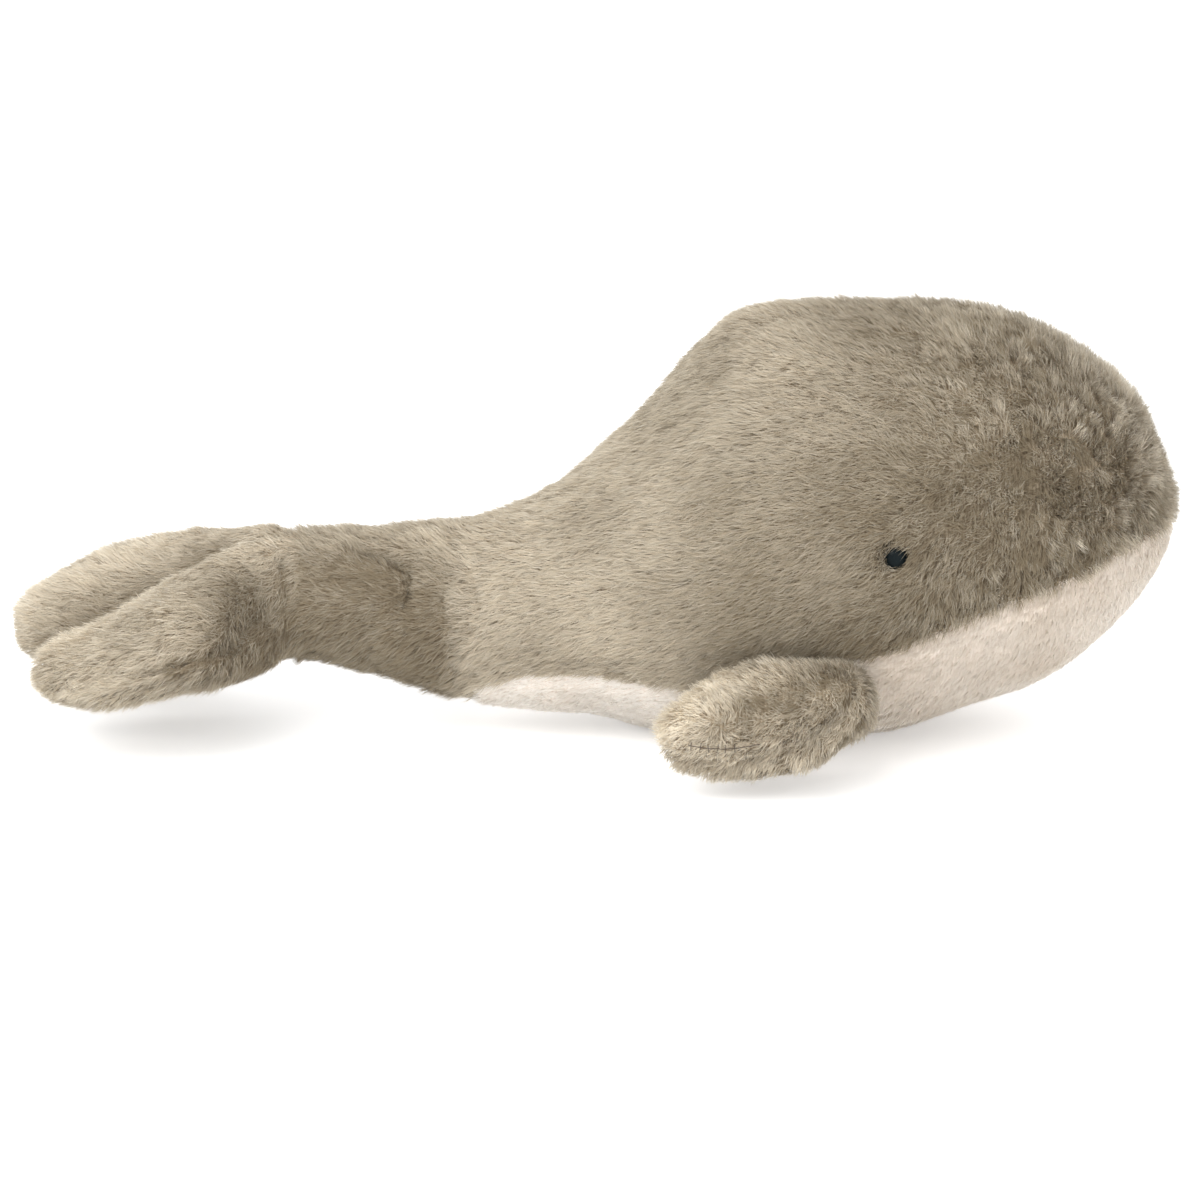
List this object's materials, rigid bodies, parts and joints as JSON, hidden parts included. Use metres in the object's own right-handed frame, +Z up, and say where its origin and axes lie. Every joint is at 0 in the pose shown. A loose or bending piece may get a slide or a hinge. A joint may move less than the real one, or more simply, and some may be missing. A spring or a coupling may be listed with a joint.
{
  "type": "plush whale",
  "caption": "Stuffed plush whale with a rounded head, a light belly, two flapping side fins and a tapering tail that sways and ends in flukes that lift.",
  "frame": {"origin": "on the surface that the whale lies on, under the middle of its length and width", "axes": "+X towards the head, +Y towards the whale's left, +Z up"},
  "size_m": [0.3951, 0.1922, 0.1485],
  "materials": {
    "taupe_pile": "long combed pile, taupe",
    "cream_pile": "short smooth pile, cream",
    "fibre_filling": "loose white fibre",
    "eye_plastic": "blue-black, softly glossy",
    "washer_plastic": "plain moulded"
  },
  "bodies": {
    "body": {"left_side_panel": "taupe_pile", "right_side_panel": "taupe_pile", "belly_panel": "cream_pile", "body_filling": "fibre_filling", "left_eye": "eye_plastic", "right_eye": "eye_plastic", "left_eye_washer": "washer_plastic", "right_eye_washer": "washer_plastic"},
    "tail": {"tail_left_panel": "taupe_pile", "tail_right_panel": "taupe_pile", "tail_filling": "fibre_filling"},
    "flukes": {"fluke_top_panel": "taupe_pile", "fluke_bottom_panel": "taupe_pile", "fluke_filling": "fibre_filling"},
    "left_fin": {"left_fin_top_panel": "taupe_pile", "left_fin_bottom_panel": "taupe_pile", "left_fin_filling": "fibre_filling"},
    "right_fin": {"right_fin_top_panel": "taupe_pile", "right_fin_bottom_panel": "taupe_pile", "right_fin_filling": "fibre_filling"}
  },
  "joints": [
    {"name": "tail_sway", "type": "hinge", "parent": "body", "child": "tail", "pos_m": [-0.05348, 0, 0.04284], "axis": [0, 0, 1], "range_deg": [-22, 22], "stiffness_Nm_per_rad": 0.25},
    {"name": "fluke_lift", "type": "hinge", "parent": "tail", "child": "flukes", "pos_m": [-0.11135, 0, 0.04755], "axis": [0, 1, 0], "range_deg": [-15, 25], "stiffness_Nm_per_rad": 0.35},
    {"name": "left_fin_flap", "type": "hinge", "parent": "body", "child": "left_fin", "pos_m": [0.0666, 0.07136, 0.03799], "axis": [1, 0, 0], "range_deg": [-10, 45], "stiffness_Nm_per_rad": 0.04},
    {"name": "right_fin_flap", "type": "hinge", "parent": "body", "child": "right_fin", "pos_m": [0.0666, -0.07136, 0.03799], "axis": [-1, 0, 0], "range_deg": [-10, 45], "stiffness_Nm_per_rad": 0.04}
  ]
}
